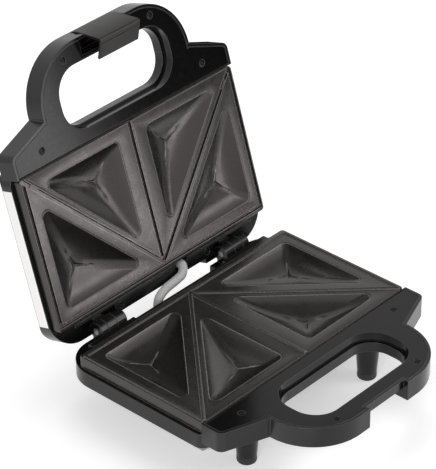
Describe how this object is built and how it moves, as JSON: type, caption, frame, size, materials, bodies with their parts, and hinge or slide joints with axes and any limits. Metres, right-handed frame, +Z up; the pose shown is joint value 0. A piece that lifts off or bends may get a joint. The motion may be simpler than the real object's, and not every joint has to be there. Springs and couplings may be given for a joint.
{
  "type": "sandwich toaster",
  "caption": "Folding sandwich toaster standing open: hinged grill plates with triangular pockets, a loop handle on each half, a sprung clip latch and peg feet.",
  "frame": {"origin": "on the table under the middle of the open toaster's plan", "axes": "+X across, to the user's right as they face the handle from behind the hinge; +Y from the handle to the hinge; +Z up"},
  "size_m": [0.234, 0.293, 0.2618],
  "materials": {
    "shell_black": "black moulded housing",
    "cover_gloss": "high gloss black panel",
    "coated_plate": "dark grey non-stick coating",
    "element_metal": "heat-tinted tube",
    "steel_bright": "plain zinc-plated steel",
    "ceramic": "ceramic and fibre",
    "block_plastic": "cream terminal block",
    "rubber_black": "matte rubber",
    "screw_black": "blackened screws",
    "stainless": "brushed stainless sheet",
    "latch_plastic": "satin dark grey clip",
    "woven_sleeve": "grey-white glass-fibre weave"
  },
  "bodies": {
    "base": {"base_shell": "shell_black", "base_grip": "shell_black", "base_handle_cover": "cover_gloss", "base_plate": "coated_plate", "base_element": "element_metal", "base_element_clamps": "steel_bright", "base_reflector": "steel_bright", "base_plate_screws": "steel_bright", "base_cover_screws": "screw_black", "thermostat": "ceramic", "thermal_fuse": "ceramic", "terminal_block": "block_plastic", "cord_gland": "rubber_black", "legs": "shell_black", "foot_tips": "rubber_black", "hinge_pins": "steel_bright", "link_sleeve": "woven_sleeve"},
    "lid": {"lid_shell": "shell_black", "lid_grip": "shell_black", "lid_top_cover": "stainless", "lid_handle_cover": "cover_gloss", "lid_plate": "coated_plate", "lid_element": "element_metal", "lid_element_clamps": "steel_bright", "lid_reflector": "steel_bright", "lid_plate_screws": "steel_bright", "lid_cover_screws": "screw_black", "lid_hinge_screws": "screw_black", "latch_pin": "steel_bright"},
    "latch": {"latch_clip": "latch_plastic", "latch_spring": "steel_bright"}
  },
  "joints": [
    {"name": "lid_hinge", "type": "hinge", "parent": "base", "child": "lid", "pos_m": [0, 0.06647, 0.0568], "axis": [1, 0, 0], "range_deg": [0, 107], "deforming": ["link_sleeve"]},
    {"name": "latch_pivot", "type": "hinge", "parent": "lid", "child": "latch", "pos_m": [0, 0.13906, 0.2542], "axis": [-1, 0, 0], "range_deg": [0, 48], "stiffness_Nm_per_rad": 0.02, "springref_deg": -20.05}
  ]
}
